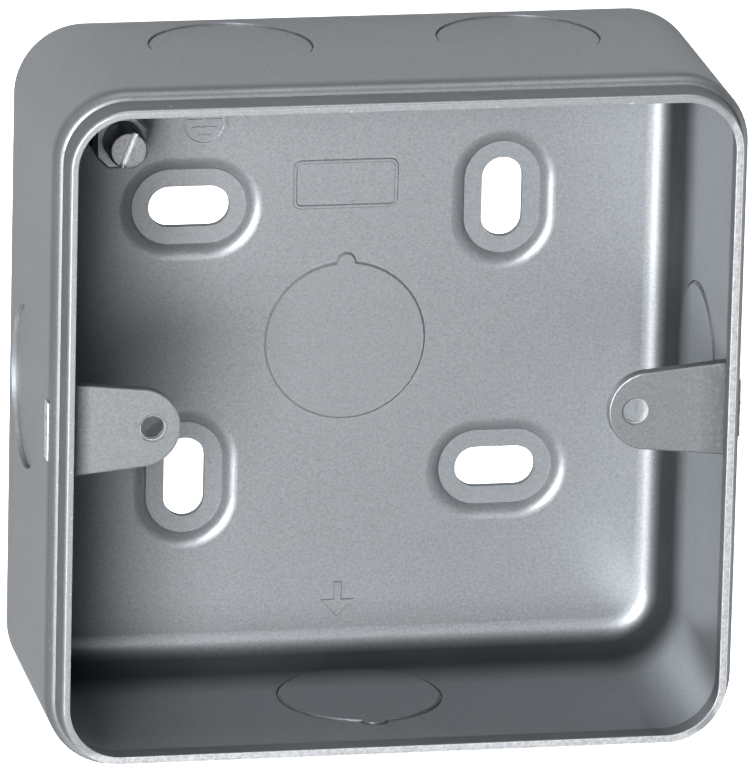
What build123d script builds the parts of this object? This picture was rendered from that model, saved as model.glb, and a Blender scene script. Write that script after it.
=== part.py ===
from build123d import *
import math
import os

os.makedirs("parts", exist_ok=True)

# One-gang surface mounting box of drawn sheet steel, lying on its back with
# the open mouth up.  Millimetres.  X and Y run along the walls, +Z comes out
# of the mouth.  The origin is the centre of the box in the plane on which the
# four pressed fixing pads stand.

# ---- driving dimensions -------------------------------------------------
SHEET = 1.0            # sheet thickness
WALL_HALF = 43.0       # centre to outer wall face, so the box is 86 square
WALL_R = 8.8           # outer radius of the upright corners
BACK_R = 5.0           # outer radius between back and walls
PAD_DEPTH = 1.2        # the pads stand this far behind the back
HEIGHT = 41.0          # rim edge above the pads' plane
RIM_UP = 3.3           # height of the narrow rim above its shoulder
RIM_IN = 40.65         # centre to inner face of the rim, at its edge
RIM_LEAN = 6.0         # degrees by which the rim leans inwards
SHOULDER_R = 1.3       # convex radius of the shoulder

SLOT_L, SLOT_W = 10.3, 5.2       # fixing slots
SLOT_X, SLOT_Y = 19.9, 17.7      # their centres
PAD_L, PAD_W = 14.5, 9.65        # flat ring round each slot
PAD_DRAFT = 25         # the pressed step leans this far from upright
LIP_R = 2.0            # soft lip where the back dips into the ring
KO_R = 10.2            # knockout radius (20 mm conduit)
KO_Z = 17.2            # height of the wall knockouts' centres
KO_X = 18.0            # half spacing of the two in the top wall
KO_GAP = 0.22          # sheared line round a knockout
KO_WEB = 0.2           # metal left between the line's two sides
KO_STEP = 0.32         # the disc in the back is pushed this far into the box

LUG_X = 30.15          # accessory screw centres are 60.3 apart
LUG_TOP = 36.2         # front face of the lugs
LUG_T = 1.6
LUG_TIP = 26.7
LUG_R = 5.0            # half width at the rounded end
LUG_ROOT = 6.05        # half width at the wall
LUG_BORE_R = 1.5       # tapped M3.5, crest radius of the thread
TENON_HALF = 3.7       # half length of the tenon in the wall
TENON_PROUD = 0.35     # peened end outside the wall

TERM_X, TERM_Y = -30.1, 28.9     # earth terminal
TERM_SIDE = 6.4
TERM_CUT = 1.45        # corner chamfer of the block
TERM_TOP = 10.7        # front face of the block
FOOT_T = 1.1           # foot of the block on the back
WIRE_R = 1.75          # wire hole
WIRE_Z = 5.5
SPIGOT_R = 1.8         # spigot riveted through the back
SCREW_Y = 29.3
SCREW_BORE_R = 2.52    # M5 thread in the block, major radius
SCREW_FLOOR = 6.5      # the thread ends here, in the top of the wire hole
TIP_BORE_R = 1.2       # drilled on from there for the dog point
SCREW_CORE_R = 2.28    # screw without its thread
SCREW_TOP = 15.4
SCREW_LOW = 7.3        # lower end of the screw, backed out
SCREW_TIP_R = 1.05     # dog point that presses on the wire
SCREW_TIP_L = 1.7

WALL_IN = WALL_HALF - SHEET
RIM_OUT = RIM_IN + SHEET
LEAN = math.tan(math.radians(RIM_LEAN))
BACK_OUT = PAD_DEPTH                 # rear face of the back
BACK_IN = PAD_DEPTH + SHEET          # inner face of the back
SHOULDER_Z = HEIGHT - RIM_UP


def rounded_block(half, radius, z0, z1):
    sk = RectangleRounded(2 * half, 2 * half, radius)
    return Pos(0, 0, z0) * extrude(sk, z1 - z0)


def leaning_block(half, z0, z1):
    """Inside or outside of the rim: half is its size at the rim's edge."""
    low = half + (HEIGHT - z0) * LEAN
    sk = RectangleRounded(2 * low, 2 * low, WALL_R - (WALL_HALF - low))
    return Pos(0, 0, z0) * extrude(sk, z1 - z0, taper=RIM_LEAN)


def face_edges_at(solid, z, tol=0.02):
    return [e for e in solid.edges()
            if abs(e.bounding_box().min.Z - z) < tol
            and abs(e.bounding_box().max.Z - z) < tol]


# ---- drawn shell --------------------------------------------------------
outer = rounded_block(WALL_HALF, WALL_R, BACK_OUT, SHOULDER_Z)
outer = fillet(face_edges_at(outer, BACK_OUT), BACK_R)
outer = fillet(face_edges_at(outer, SHOULDER_Z), SHOULDER_R)
rim = leaning_block(RIM_OUT, SHOULDER_Z - 1.0, HEIGHT)
body = outer + rim

# pressed pads behind the back, one round each fixing slot
slots = [(-SLOT_X, SLOT_Y, 0), (SLOT_X, SLOT_Y, 90),
         (-SLOT_X, -SLOT_Y, 90), (SLOT_X, -SLOT_Y, 0)]
draft = math.radians(PAD_DRAFT)
grow = SHEET * (1 - math.sin(draft)) / math.cos(draft)   # keeps the sheet's thickness
boss = extrude(SlotOverall(PAD_L + 2 * grow, PAD_W + 2 * grow), PAD_DEPTH + 0.3,
               taper=-PAD_DRAFT)
boss = fillet(face_edges_at(boss, 0), 0.8)
for x, y, a in slots:
    body += Pos(x, y, 0) * Rot(0, 0, a) * boss

# inside of the shell
cavity = rounded_block(WALL_IN, WALL_R - SHEET, BACK_IN, SHOULDER_Z - SHEET)
cavity = fillet(face_edges_at(cavity, BACK_IN), BACK_R - SHEET)
cavity = fillet(face_edges_at(cavity, SHOULDER_Z - SHEET), 0.45)
mouth = leaning_block(RIM_IN, SHOULDER_Z - SHEET - 1.0, HEIGHT + 1)
body -= cavity
body -= mouth
low = RIM_IN + (HEIGHT - SHOULDER_Z + SHEET) * LEAN      # foot of the rim's inner face
foot = [e for e in face_edges_at(body, SHOULDER_Z - SHEET)
        if max(e.bounding_box().max.X, e.bounding_box().max.Y,
               -e.bounding_box().min.X, -e.bounding_box().min.Y) < low + 0.05]
body = fillet(foot, 0.35)

# the dish in front of each pad, with a soft lip, and the slot through it
dish = Pos(0, 0, SHEET) * extrude(SlotOverall(PAD_L, PAD_W), PAD_DEPTH, taper=-PAD_DRAFT)
for x, y, a in slots:
    at = Pos(x, y, 0) * Rot(0, 0, a)
    body -= at * dish
lips = []
for e in body.edges():
    b = e.bounding_box()
    if abs(b.min.Z - BACK_IN) < 0.01 and abs(b.max.Z - BACK_IN) < 0.01:
        c = b.center()
        if min(math.hypot(c.X - x, c.Y - y) for x, y, _ in slots) < 10:
            lips.append(e)
body = fillet(lips, LIP_R)
for x, y, a in slots:
    body -= Pos(x, y, -1) * Rot(0, 0, a) * extrude(SlotOverall(SLOT_L, SLOT_W), 4)

# trimmed edge of the rim, its corners broken
edge = face_edges_at(body, HEIGHT)
outside = [e for e in edge if e.bounding_box().max.X > RIM_IN + 0.5
           or e.bounding_box().min.X < -RIM_IN - 0.5
           or e.bounding_box().max.Y > RIM_IN + 0.5
           or e.bounding_box().min.Y < -RIM_IN - 0.5]
body = fillet(outside, 0.4)
inside = [e for e in face_edges_at(body, HEIGHT) if e not in outside
          and max(e.bounding_box().max.X, e.bounding_box().max.Y,
                  -e.bounding_box().min.X, -e.bounding_box().min.Y) < RIM_IN + 0.05]
body = fillet(inside, 0.1)


# ---- knockouts: discs sheared almost through, each with a small nib --------
def knockout(solid, plane, sink):
    """plane lies in the outer face, its z axis points out of the box and its
    y axis to the nib. sink: how far the disc is pushed into the box."""
    outline = Circle(KO_R) + Pos(0, KO_R - 0.55) * Circle(1.75)
    small = Circle(KO_R - KO_GAP) + Pos(0, KO_R - 0.55) * Circle(1.75 - KO_GAP)
    large = Circle(KO_R + KO_GAP) + Pos(0, KO_R - 0.55) * Circle(1.75 + KO_GAP)

    cut = (SHEET - KO_WEB - sink) / 2

    def prism(sk, w0, w1):
        return plane * (Pos(0, 0, w0) * extrude(sk, w1 - w0))

    solid = solid + prism(small, -SHEET - sink, -SHEET + 0.05)
    solid = solid - prism(outline, -sink, 0.5)
    solid = solid - prism(outline - small, -sink - cut, 0)
    solid = solid - prism(large - outline, -SHEET - 0.5, -SHEET + cut)
    return solid


OUT = {
    "top_a": Plane((-KO_X, WALL_HALF, KO_Z), x_dir=(-1, 0, 0), z_dir=(0, 1, 0)),
    "top_b": Plane((KO_X, WALL_HALF, KO_Z), x_dir=(-1, 0, 0), z_dir=(0, 1, 0)),
    "bottom": Plane((0, -WALL_HALF, KO_Z), x_dir=(1, 0, 0), z_dir=(0, -1, 0)),
    "left": Plane((-WALL_HALF, 0, KO_Z), x_dir=(0, -1, 0), z_dir=(-1, 0, 0)),
    "right": Plane((WALL_HALF, 0, KO_Z), x_dir=(0, 1, 0), z_dir=(1, 0, 0)),
}
for name, plane in OUT.items():
    sink = 0.55 if name == "left" else 0.2
    body = knockout(body, plane, sink)

# the one in the back is pushed in as one step, with a drawn edge
disc = Circle(KO_R + 0.1) + Pos(0, KO_R) * Circle(1.3)
body += Pos(0, 0, BACK_IN) * extrude(disc, KO_STEP, taper=40)
body -= Pos(0, 0, BACK_OUT) * extrude(disc, KO_STEP, taper=40)

# ---- slots for the lug tenons, hole for the terminal's spigot --------------
for side in (-1, 1):
    body -= Pos(side * WALL_HALF, 0, LUG_TOP - LUG_T / 2) * Box(4, 2 * TENON_HALF, LUG_T)
body -= Pos(TERM_X, TERM_Y, BACK_OUT) * Cylinder(SPIGOT_R, 4)

# ---- raised marks on the back: protective earth sign, plain frame, arrow ----
RAISE = 0.22


def raised(sk):
    return Pos(0, 0, BACK_IN - 0.05) * extrude(sk, RAISE + 0.05)


def drafted(sk):
    return Pos(0, 0, BACK_IN) * extrude(sk, RAISE, taper=30)


def bar(x, y, w, h):
    return Pos(x, y) * Rectangle(w, h)


EX, EY = -18.4, 28.9
sign = Pos(EX, EY) * (Circle(2.95) - Circle(2.6))
sign += bar(EX, EY + 1.35, 0.36, 2.2)
for dy, w in ((0.25, 4.3), (-0.75, 3.1), (-1.7, 1.6)):
    sign += bar(EX, EY + dy, w, 0.36)
body += raised(sign)
frame = RectangleRounded(13.4, 6.4, 1.1) - RectangleRounded(12.3, 5.3, 0.55)
body += drafted(Pos(-0.3, 20.4) * frame)
arrow = Pos(-0.2, -34.4) * Polygon((0, -2.1), (2.3, 0.3), (-2.3, 0.3), align=None)
arrow += bar(-0.2, -33.0, 1.1, 2.4)
body += drafted(arrow)

box_shell = body.solids()[0] if len(body.solids()) == 1 else body


# ---- lugs ---------------------------------------------------------------
def make_lug(side):
    """Strip with a rounded end; its tenon goes through the wall and is peened
    over outside. side -1 is the left one."""
    z0 = LUG_TOP - LUG_T
    cx = LUG_TIP + LUG_R
    strip = Polygon((WALL_IN, -LUG_ROOT), (WALL_IN, LUG_ROOT),
                    (cx, LUG_R), (cx, -LUG_R), align=None)
    sk = strip + Pos(cx, 0) * Circle(LUG_R)
    lug = Pos(0, 0, z0) * extrude(sk, LUG_T)
    lug = fillet(lug.edges().filter_by(lambda e: e.bounding_box().min.X < WALL_IN - 0.5
                                       and e.bounding_box().size.Z < 0.01), 0.25)
    tenon = Pos((WALL_IN + WALL_HALF) / 2, 0, z0 + LUG_T / 2) * Box(
        SHEET, 2 * TENON_HALF, LUG_T)
    head = Pos(WALL_HALF + TENON_PROUD / 2, 0, z0 + LUG_T / 2) * Box(
        TENON_PROUD, 2 * TENON_HALF - 0.1, LUG_T + 0.2)
    head = fillet(head.edges().filter_by(
        lambda e: e.bounding_box().min.X > WALL_HALF + TENON_PROUD - 0.01), 0.22)
    lug = lug + tenon + head
    hole = Pos(LUG_X, 0, z0 + LUG_T / 2) * Cylinder(LUG_BORE_R, LUG_T + 2)
    lug -= hole
    rims = [e for e in lug.edges().filter_by(GeomType.CIRCLE)
            if abs(e.radius - LUG_BORE_R) < 0.01]
    lug = chamfer(rims, 0.3)
    if side < 0:
        lug = Rot(0, 0, 180) * lug
    return lug.solids()[0]


lug_left = make_lug(-1)
lug_right = make_lug(1)

# ---- earth terminal -------------------------------------------------------
sk = Polygon(*[(sx, sy) for sx, sy in [
    (-TERM_SIDE / 2 + TERM_CUT, -TERM_SIDE / 2), (TERM_SIDE / 2 - TERM_CUT, -TERM_SIDE / 2),
    (TERM_SIDE / 2, -TERM_SIDE / 2 + TERM_CUT), (TERM_SIDE / 2, TERM_SIDE / 2 - TERM_CUT),
    (TERM_SIDE / 2 - TERM_CUT, TERM_SIDE / 2), (-TERM_SIDE / 2 + TERM_CUT, TERM_SIDE / 2),
    (-TERM_SIDE / 2, TERM_SIDE / 2 - TERM_CUT), (-TERM_SIDE / 2, -TERM_SIDE / 2 + TERM_CUT)]],
    align=None)
sk = fillet(sk.vertices(), 0.7)
block = Pos(TERM_X, TERM_Y, BACK_IN) * extrude(sk, TERM_TOP - BACK_IN)
block = fillet(face_edges_at(block, TERM_TOP), 0.25)
foot = Pos(TERM_X - 1.5, TERM_Y - 0.15, BACK_IN) * extrude(
    RectangleRounded(TERM_SIDE + 3.0, TERM_SIDE + 0.7, 0.8), FOOT_T)
block += foot
block += Pos(TERM_X, TERM_Y, BACK_OUT + SHEET / 2 + 0.05) * Cylinder(SPIGOT_R, SHEET + 0.1)
rivet = Pos(TERM_X, TERM_Y, BACK_OUT - 0.3) * Cylinder(SPIGOT_R + 0.5, 0.6)
rivet = fillet(face_edges_at(rivet, BACK_OUT - 0.6), 0.4)
block += rivet
block -= Pos(TERM_X, TERM_Y, WIRE_Z) * Rot(0, 90, 0) * Cylinder(WIRE_R, 20)
block -= Pos(TERM_X, SCREW_Y, (TERM_TOP + SCREW_FLOOR) / 2 + 1) * Cylinder(
    SCREW_BORE_R, TERM_TOP - SCREW_FLOOR + 2)
block -= Pos(TERM_X, SCREW_Y, (WIRE_Z + SCREW_FLOOR) / 2 + 0.2) * Cylinder(
    TIP_BORE_R, SCREW_FLOOR - WIRE_Z + 0.4)
earth_terminal = block.solids()[0]

# ---- slotted pinch screw ----------------------------------------------------
core_low = SCREW_LOW + SCREW_TIP_L
shaft = Pos(TERM_X, SCREW_Y, (SCREW_TOP + core_low) / 2) * Cylinder(
    SCREW_CORE_R, SCREW_TOP - core_low)
shaft = chamfer(face_edges_at(shaft, core_low), 0.5)
shaft = chamfer(face_edges_at(shaft, SCREW_TOP), 0.12)
tip = Pos(TERM_X, SCREW_Y, (SCREW_LOW + core_low) / 2 + 0.1) * Cylinder(
    SCREW_TIP_R, SCREW_TIP_L + 0.2)
shaft += chamfer(face_edges_at(tip, SCREW_LOW), 0.15)
shaft -= Pos(TERM_X, SCREW_Y, SCREW_TOP) * Rot(0, 0, 69) * Box(8, 0.8, 2.4)
earth_screw = shaft.solids()[0]

NODES = {
    "box_shell": box_shell,
    "lug_left": lug_left,
    "lug_right": lug_right,
    "earth_terminal": earth_terminal,
    "earth_screw": earth_screw,
}
for name, solid in NODES.items():
    b = solid.bounding_box()
    print(name, "solids", len(solid.solids()), "vol", round(solid.volume, 1),
          [round(v, 2) for v in (b.min.X, b.min.Y, b.min.Z, b.max.X, b.max.Y, b.max.Z)])
    export_step(solid, "parts/%s.step" % name)
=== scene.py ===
import math

import bmesh
import bpy
from mathutils import Matrix, Vector


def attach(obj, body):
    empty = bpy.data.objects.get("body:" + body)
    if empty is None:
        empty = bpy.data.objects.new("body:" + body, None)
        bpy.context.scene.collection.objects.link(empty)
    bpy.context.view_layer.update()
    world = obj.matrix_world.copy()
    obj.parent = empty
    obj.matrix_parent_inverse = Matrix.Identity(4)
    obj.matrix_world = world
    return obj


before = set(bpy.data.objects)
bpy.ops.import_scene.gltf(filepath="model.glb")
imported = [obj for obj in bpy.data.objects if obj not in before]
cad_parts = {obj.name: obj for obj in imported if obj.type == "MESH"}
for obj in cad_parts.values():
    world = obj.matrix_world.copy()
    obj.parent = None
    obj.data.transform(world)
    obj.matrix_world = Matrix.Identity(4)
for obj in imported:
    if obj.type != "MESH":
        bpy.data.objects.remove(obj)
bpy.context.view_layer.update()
MM = 0.001


# ---------------------------------------------------------------- materials
class Mat:
    """A node material built step by step."""

    def __init__(self, name):
        self.m = bpy.data.materials.new(name)
        self.m.use_nodes = True
        self.t = self.m.node_tree
        self.b = self.t.nodes["Principled BSDF"]
        self.coord = self.t.nodes.new("ShaderNodeTexCoord").outputs["Object"]

    def node(self, kind, **inputs):
        n = self.t.nodes.new(kind)
        for k, v in inputs.items():
            setattr(n, k, v)
        return n

    def link(self, a, b):
        self.t.links.new(a, b)

    def noise(self, scale, detail=2.0, rough=0.5, vec=None):
        n = self.node("ShaderNodeTexNoise")
        n.inputs["Scale"].default_value = scale
        n.inputs["Detail"].default_value = detail
        n.inputs["Roughness"].default_value = rough
        self.link(vec if vec is not None else self.coord, n.inputs["Vector"])
        return n.outputs["Fac"]

    def remap(self, value, a, b, c, d):
        n = self.node("ShaderNodeMapRange")
        for i, x in enumerate((a, b, c, d)):
            n.inputs[i + 1].default_value = x
        self.link(value, n.inputs[0])
        return n.outputs[0]

    def math(self, op, *values):
        n = self.node("ShaderNodeMath", operation=op)
        for i, v in enumerate(values):
            if hasattr(v, "is_output"):
                self.link(v, n.inputs[i])
            else:
                n.inputs[i].default_value = v
        return n.outputs[0]

    def mix(self, fac, a, b):
        n = self.node("ShaderNodeMix", data_type="RGBA")
        for sock, v in ((n.inputs[0], fac), (n.inputs[6], a), (n.inputs[7], b)):
            if hasattr(v, "is_output"):
                self.link(v, sock)
            else:
                sock.default_value = v
        return n.outputs[2]

    def ramp(self, value, *stops):
        n = self.node("ShaderNodeValToRGB")
        cr = n.color_ramp
        while len(cr.elements) < len(stops):
            cr.elements.new(0.5)
        for e, (p, c) in zip(cr.elements, stops):
            e.position, e.color = p, c
        self.link(value, n.inputs[0])
        return n.outputs[0]

    def xyz(self):
        n = self.node("ShaderNodeSeparateXYZ")
        self.link(self.coord, n.inputs[0])
        return n.outputs

    def bump(self, height, strength, distance):
        n = self.node("ShaderNodeBump")
        n.inputs["Strength"].default_value = strength
        n.inputs["Distance"].default_value = distance
        self.link(height, n.inputs["Height"])
        self.link(n.outputs[0], self.b.inputs["Normal"])
        return n


PAINT_LO, PAINT_HI = (0.3, 0.315, 0.33), (0.44, 0.46, 0.48)
PAINT_METAL = 0.45
# strength of the painted shade along the foot of the walls, inside
WALL_FOOT_PAINTED_SHADE = 0.84
PAINT_ROUGH = (0.38, 0.46)


def grey(r, g, b):
    return (r, g, b, 1.0)


def fine_grain(k, amount):
    """Fine bright and dark flecks of metallic paint, about a tenth of a millimetre."""
    flake = k.noise(5200, 1.0, 0.5)
    grain = k.noise(2300, 2.0, 0.6)
    return k.math("ADD", k.math("MULTIPLY", flake, amount), k.math("MULTIPLY", grain, 1 - amount))


def paint(name, tone=1.0):
    """Silver-grey metallic paint over sheet steel: fine fleck, faint clouds, orange
    peel, and a brighter, rougher edge where the rim was trimmed, made brighter still
    on the right and bottom sides as a painted highlight; painted shade over the
    shoulder, on both faces of the rim and along the foot of the walls inside."""
    k = Mat(name)
    v = fine_grain(k, 0.6)
    cloud = k.noise(55, 3.0, 0.5)
    lo, hi = [c * tone for c in PAINT_LO], [c * tone for c in PAINT_HI]
    col = k.ramp(v, (0.25, grey(*lo)), (0.75, grey(*hi)))
    col = k.mix(k.remap(cloud, 0.35, 0.65, 0.0, 0.07), col, grey(*lo))
    x, y, z = k.xyz()
    # trimmed bare edge of the rim, speckled, with a painted highlight: much brighter on the right and
    # bottom sides than on the top and left
    speck = k.noise(2400, 3.0, 0.7)
    edge = k.math("MULTIPLY", k.remap(z, 0.04085, 0.04093, 0.0, 1.0),
                  k.remap(speck, 0.38, 0.6, 0.45, 1.0))
    right_bottom_sides = k.math("MAXIMUM", k.remap(x, 0.0398, 0.0404, 0.0, 1.0),
                    k.remap(y, -0.0404, -0.0398, 1.0, 0.0))
    edge_painted_highlight_weight = k.remap(right_bottom_sides, 0.0, 1.0, 0.08, 0.85)
    col = k.mix(k.math("MULTIPLY", edge, edge_painted_highlight_weight), col, grey(0.72, 0.73, 0.75))
    # small bare nicks along the shoulder and the rim
    nick = k.math("MULTIPLY", k.remap(k.noise(900, 2.0, 0.5), 0.70, 0.74, 0.0, 0.6),
                  k.remap(z, 0.0366, 0.0372, 0.0, 1.0))
    col = k.mix(nick, col, grey(0.70, 0.71, 0.72))
    # how far out a point lies, measured across the rounded square of the walls
    qx = k.math("MAXIMUM", k.math("SUBTRACT", k.math("ABSOLUTE", x), 0.0342), 0.0)
    qy = k.math("MAXIMUM", k.math("SUBTRACT", k.math("ABSOLUTE", y), 0.0342), 0.0)
    out = k.math("ADD", k.math("SQRT", k.math("ADD", k.math("MULTIPLY", qx, qx),
                                              k.math("MULTIPLY", qy, qy))), 0.0342)
    # painted shade over the shoulder and on both faces of the rim: the colour is darkened there, and
    # the roughness raised a little
    bend = k.math("MULTIPLY", k.remap(out, 0.0422, 0.0424, 0.0, 1.0),
                  k.remap(z, 0.0345, 0.0362, 0.0, 1.0))
    wrap = k.math("MULTIPLY", k.remap(z, 0.0375, 0.0377, 0.0, 1.0),
                  k.remap(out, 0.0413, 0.0416, 0.0, 1.0))
    wrap = k.math("MULTIPLY", wrap, k.remap(z, 0.0406, 0.0409, 1.0, 0.0))
    inner = k.math("MULTIPLY", k.remap(z, 0.0364, 0.0368, 0.0, 1.0),
                   k.remap(z, 0.0406, 0.0408, 1.0, 0.0))
    inner = k.math("MULTIPLY", inner, k.remap(out, 0.0412, 0.0414, 1.3, 0.0))
    shoulder_rim_painted_shade = k.math("MAXIMUM", k.math("MAXIMUM", bend, wrap), inner)
    shoulder_rim_painted_shade = k.math("MULTIPLY", shoulder_rim_painted_shade, k.remap(cloud, 0.3, 0.6, 0.8, 1.0))
    col = k.mix(k.math("MULTIPLY", shoulder_rim_painted_shade, 0.5), col, grey(0.12, 0.122, 0.126))
    # painted shade: dark along the foot of the walls, inside
    wall_foot_painted_shade = k.math("MULTIPLY", k.remap(out, 0.0392, 0.0410, 0.0, 1.0),
                  k.remap(out, 0.0421, 0.0423, 1.0, 0.0))
    wall_foot_painted_shade = k.math("MULTIPLY", wall_foot_painted_shade, k.remap(z, 0.0050, 0.0140, 1.0, 0.0))
    wall_foot_painted_shade = k.math("MULTIPLY", wall_foot_painted_shade, k.remap(cloud, 0.3, 0.6, 0.85, 1.0))
    col = k.mix(k.math("MULTIPLY", wall_foot_painted_shade, WALL_FOOT_PAINTED_SHADE), col, grey(0.05, 0.052, 0.056))
    k.link(col, k.b.inputs["Base Color"])
    k.b.inputs["Metallic"].default_value = PAINT_METAL
    k.b.inputs["Specular IOR Level"].default_value = 0.5
    rough = k.remap(k.math("ADD", v, k.math("MULTIPLY", cloud, 0.5)), 0.45, 1.05, *PAINT_ROUGH)
    rough = k.math("ADD", rough, k.math("MULTIPLY", shoulder_rim_painted_shade, 0.08))
    k.link(rough, k.b.inputs["Roughness"])
    h = k.math("ADD", k.math("MULTIPLY", k.noise(1300, 2.0, 0.5), 0.7), k.math("MULTIPLY", v, 0.3))
    h = k.math("ADD", h, k.math("MULTIPLY", edge, k.math("MULTIPLY", speck, 1.6)))
    k.bump(h, 0.25, 0.00003)
    return k


def lug_paint(name, tone):
    """The same paint; bare steel in the tapped hole and on the peened end of the tenon;
    painted shade where the strip meets the wall.
    """
    k = paint(name, tone)
    col = k.b.inputs["Base Color"].links[0].from_socket
    x, y, z = k.xyz()
    off = k.math("SUBTRACT", k.math("ABSOLUTE", x), 0.03015)
    r = k.math("SQRT", k.math("ADD", k.math("MULTIPLY", off, off), k.math("MULTIPLY", y, y)))
    hole = k.remap(r, 0.00154, 0.00162, 1.0, 0.0)
    head = k.remap(k.math("ABSOLUTE", x), 0.04305, 0.04315, 0.0, 1.0)
    wear_and_shade_mottle = k.remap(k.noise(900, 3.0, 0.7), 0.36, 0.5, 0.35, 1.0)
    bare = k.math("MAXIMUM", hole, k.math("MULTIPLY", head, wear_and_shade_mottle))
    groove = k.math("MULTIPLY", hole, k.math("SINE", k.math("MULTIPLY", z, 2 * math.pi / 0.0006)))
    # painted shade: darkened where the strip meets the wall, under the rim
    strip_root_painted_shade = k.remap(k.math("ABSOLUTE", x), 0.0380, 0.0402, 0.0, 0.45)
    strip_root_painted_shade = k.math("MULTIPLY", strip_root_painted_shade, k.remap(k.math("ABSOLUTE", x), 0.0424, 0.0428, 1.0, 0.0))
    col = k.mix(k.math("MULTIPLY", strip_root_painted_shade, wear_and_shade_mottle), col, grey(0.12, 0.122, 0.126))
    k.link(k.mix(bare, col, grey(0.86, 0.87, 0.88)), k.b.inputs["Base Color"])
    k.link(k.remap(k.math("MULTIPLY", head, wear_and_shade_mottle), 0.0, 1.0, PAINT_METAL, 1.0), k.b.inputs["Metallic"])
    n = k.b.inputs["Normal"].links[0].from_node
    old = n.inputs["Height"].links[0].from_socket
    k.link(k.math("ADD", old, k.math("MULTIPLY", groove, 1.5)), n.inputs["Height"])
    return k


def nickel(name):
    """Bright plate on brass, with fine turning and handling marks; painted shade: dark
    down the wire hole, in the screw's slot and low on the terminal.
    """
    k = Mat(name)
    g = k.noise(2400, 3.0, 0.6)
    c = k.noise(260, 2.0, 0.5)
    col = k.ramp(g, (0.3, grey(0.50, 0.51, 0.52)), (0.7, grey(0.66, 0.67, 0.68)))
    x, y, z = k.xyz()
    # painted shade: near-black down the wire hole
    dy, dz = k.math("SUBTRACT", y, 0.0289), k.math("SUBTRACT", z, 0.0055)
    r = k.math("SQRT", k.math("ADD", k.math("MULTIPLY", dy, dy), k.math("MULTIPLY", dz, dz)))
    wire_hole_painted_shade = k.math("MULTIPLY", k.remap(r, 0.00177, 0.00183, 1.0, 0.0),
                  k.remap(k.math("ABSOLUTE", k.math("ADD", x, 0.0301)), 0.0030, 0.0033, 1.0, 0.0))
    # painted shade: darker low on the terminal, towards its foot
    low = k.math("MULTIPLY", k.remap(z, 0.0034, 0.0062, 0.8, 0.0),
                 k.remap(k.noise(500, 2.0, 0.5), 0.3, 0.6, 0.6, 1.0))
    col = k.mix(low, col, grey(0.22, 0.22, 0.22))
    # painted shade: dark down the screw's slot
    sx, sy = k.math("ADD", x, 0.0301), k.math("SUBTRACT", y, 0.0293)
    across = k.math("ABSOLUTE", k.math("ADD", k.math("MULTIPLY", sx, -0.9336),
                                       k.math("MULTIPLY", sy, 0.3584)))
    slot = k.math("MULTIPLY", k.remap(across, 0.00036, 0.00040, 1.0, 0.0),
                  k.remap(z, 0.0145, 0.0149, 1.0, 0.0))
    slot = k.math("MULTIPLY", slot, k.remap(z, 0.0135, 0.0140, 0.0, 1.0))
    col = k.mix(k.math("MULTIPLY", slot, 0.8), col, grey(0.16, 0.16, 0.17))
    col = k.mix(wire_hole_painted_shade, col, grey(0.03, 0.03, 0.03))
    k.link(col, k.b.inputs["Base Color"])
    k.b.inputs["Metallic"].default_value = 1.0
    k.link(k.remap(k.math("ADD", g, c), 0.6, 1.4, 0.26, 0.42), k.b.inputs["Roughness"])
    k.bump(c, 0.2, 0.00004)
    return k


MATS = {
    "shell": paint("silver_paint").m,
    # painted shade: the lugs get a copy of the paint made a tenth darker than the shell's
    "lug": lug_paint("silver_paint_lug", 0.90).m,
    "nickel": nickel("nickel_plate").m,
}
for node, key in (("box_shell", "shell"), ("lug_left", "lug"), ("lug_right", "lug"),
                  ("earth_terminal", "nickel"), ("earth_screw", "nickel")):
    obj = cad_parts[node]
    for slot in obj.material_slots:
        slot.material = MATS[key]
    if not obj.material_slots:
        obj.data.materials.append(MATS[key])


# ------------------------------------------------------------------- thread
def helix_thread(name, centre, r_root, r_crest, pitch, z0, z1, mat, body, steps=48):
    """A single-start ridge wound round a plain shank, tapering out at both ends."""
    turns = (z1 - z0) / pitch
    n = int(turns * steps)
    bm = bmesh.new()
    rings = []
    for i in range(n + 1):
        a = 2 * math.pi * i / steps
        z = z0 + pitch * i / steps
        fade = min(1.0, i / (steps * 0.5), (n - i) / (steps * 0.5))
        rc = r_root + (r_crest - r_root) * max(fade, 0.02)
        prof = ((r_root - 0.03, -0.46), (rc, -0.07), (rc, 0.07), (r_root - 0.03, 0.46))
        ring = [bm.verts.new(((centre[0] + r * math.cos(a)) * MM,
                              (centre[1] + r * math.sin(a)) * MM,
                              (z + dz * pitch) * MM)) for r, dz in prof]
        rings.append(ring)
    for a, b in zip(rings, rings[1:]):
        for i in range(4):
            j = (i + 1) % 4
            bm.faces.new((a[i], a[j], b[j], b[i]))
    bm.faces.new(rings[0][::-1])
    bm.faces.new(rings[-1])
    bmesh.ops.recalc_face_normals(bm, faces=bm.faces)
    me = bpy.data.meshes.new(name)
    bm.to_mesh(me)
    bm.free()
    obj = bpy.data.objects.new(name, me)
    bpy.context.scene.collection.objects.link(obj)
    me.materials.append(mat)
    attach(obj, body)
    return obj


helix_thread("screw_thread", (-30.1, 29.3), 2.28, 2.48, 0.8, 9.6, 15.0,
             MATS["nickel"], "pinch_screw")

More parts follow.
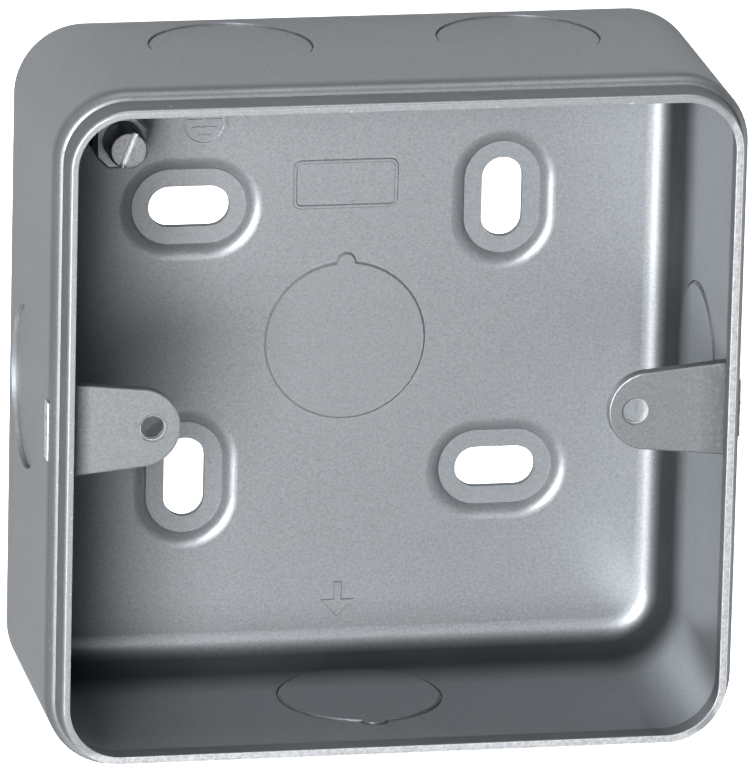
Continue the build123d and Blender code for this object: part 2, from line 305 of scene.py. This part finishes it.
# -------------------------------------------------------------------- stage
me = bpy.data.meshes.new("floor")
bm = bmesh.new()
bmesh.ops.create_grid(bm, x_segments=1, y_segments=1, size=3.0)
bm.to_mesh(me)
bm.free()
floor = bpy.data.objects.new("floor", me)
floor.location.z = -0.00002
bpy.context.scene.collection.objects.link(floor)
fm = bpy.data.materials.new("pale_floor")
fm.use_nodes = True
fb = fm.node_tree.nodes["Principled BSDF"]
fb.inputs["Base Color"].default_value = (0.86, 0.86, 0.86, 1)
fb.inputs["Roughness"].default_value = 0.9
fb.inputs["Specular IOR Level"].default_value = 0.1
fb.inputs["Emission Color"].default_value = (1, 1, 1, 1)
fb.inputs["Emission Strength"].default_value = 0.85
# seen straight on the floor is white, as in the photo; what it sheds on the
# box is the light of a mid-grey table
dim = fm.node_tree.nodes.new("ShaderNodeBsdfDiffuse")
dim.inputs["Color"].default_value = (0.40, 0.40, 0.40, 1)
seen = fm.node_tree.nodes.new("ShaderNodeLightPath")
both = fm.node_tree.nodes.new("ShaderNodeMixShader")
fm.node_tree.links.new(seen.outputs["Is Camera Ray"], both.inputs[0])
fm.node_tree.links.new(dim.outputs[0], both.inputs[1])
fm.node_tree.links.new(fb.outputs[0], both.inputs[2])
fm.node_tree.links.new(both.outputs[0], fm.node_tree.nodes["Material Output"].inputs["Surface"])
me.materials.append(fm)

# ------------------------------------------------------------------- lights
world = bpy.data.worlds.new("studio")
bpy.context.scene.world = world
world.use_nodes = True
bg = world.node_tree.nodes["Background"]
bg.inputs["Color"].default_value = (0.97, 0.985, 1.0, 1)
bg.inputs["Strength"].default_value = 0.03


def area(name, where, aim, size, watts, colour=(1, 1, 1)):
    d = bpy.data.lights.new(name, "AREA")
    d.shape = "RECTANGLE"
    d.size, d.size_y = size
    d.energy = watts
    d.color = colour
    o = bpy.data.objects.new(name, d)
    o.location = where
    o.rotation_euler = (Vector(aim) - Vector(where)).to_track_quat("-Z", "Y").to_euler()
    bpy.context.scene.collection.objects.link(o)
    return o


area("key", (-0.38, 0.08, 0.92), (0, 0, 0.02), (0.55, 0.35), 10.8)
area("over", (0.06, 0.05, 1.0), (0, 0, 0.02), (0.5, 0.3), 0.35)
area("rear", (0.1, 0.75, 0.10), (0, 0.04, 0.02), (0.6, 0.1), 1.5)
# low fills for the walls that the camera doesn't see; they pass under the mouth
area("right", (0.75, -0.1, 0.12), (0.04, 0, 0.02), (0.6, 0.1), 1.6)
area("front", (-0.1, -0.75, 0.12), (0, -0.04, 0.02), (0.6, 0.1), 1.6)
area("corner", (0.55, -0.6, 0.15), (0.03, -0.03, 0.02), (0.4, 0.12), 0.9)

# ------------------------------------------------------------------- camera
W, H = 755, 768
F_PX, DIST = 11304.95, 1400.0
RV = Vector((0.29954, -0.19025, -0.00549))
TX, TY = -0.71642, -0.18937
R = Matrix.Rotation(RV.length, 3, RV.normalized())
D = Matrix(((1, 0, 0), (0, -1, 0), (0, 0, -1)))
to_world = D @ R.transposed()
pos = Vector((0, 0, 20.5)) - to_world @ Vector((TX, TY, DIST))
right = to_world @ Vector((1, 0, 0))
up = -(to_world @ Vector((0, 1, 0)))
back = -(to_world @ Vector((0, 0, 1)))
cam_data = bpy.data.cameras.new("camera")
cam = bpy.data.objects.new("camera", cam_data)
bpy.context.scene.collection.objects.link(cam)
m = Matrix((right, up, back)).transposed().to_4x4()
m.translation = pos * MM
cam.matrix_world = m
cam_data.sensor_fit = "AUTO"
cam_data.sensor_width = 36.0
cam_data.lens = F_PX / max(W, H) * 36.0
cam_data.clip_start, cam_data.clip_end = 0.1, 20.0
bpy.context.scene.camera = cam
bpy.context.scene.view_settings.view_transform = "Standard"
bpy.context.scene.view_settings.look = "High Contrast"
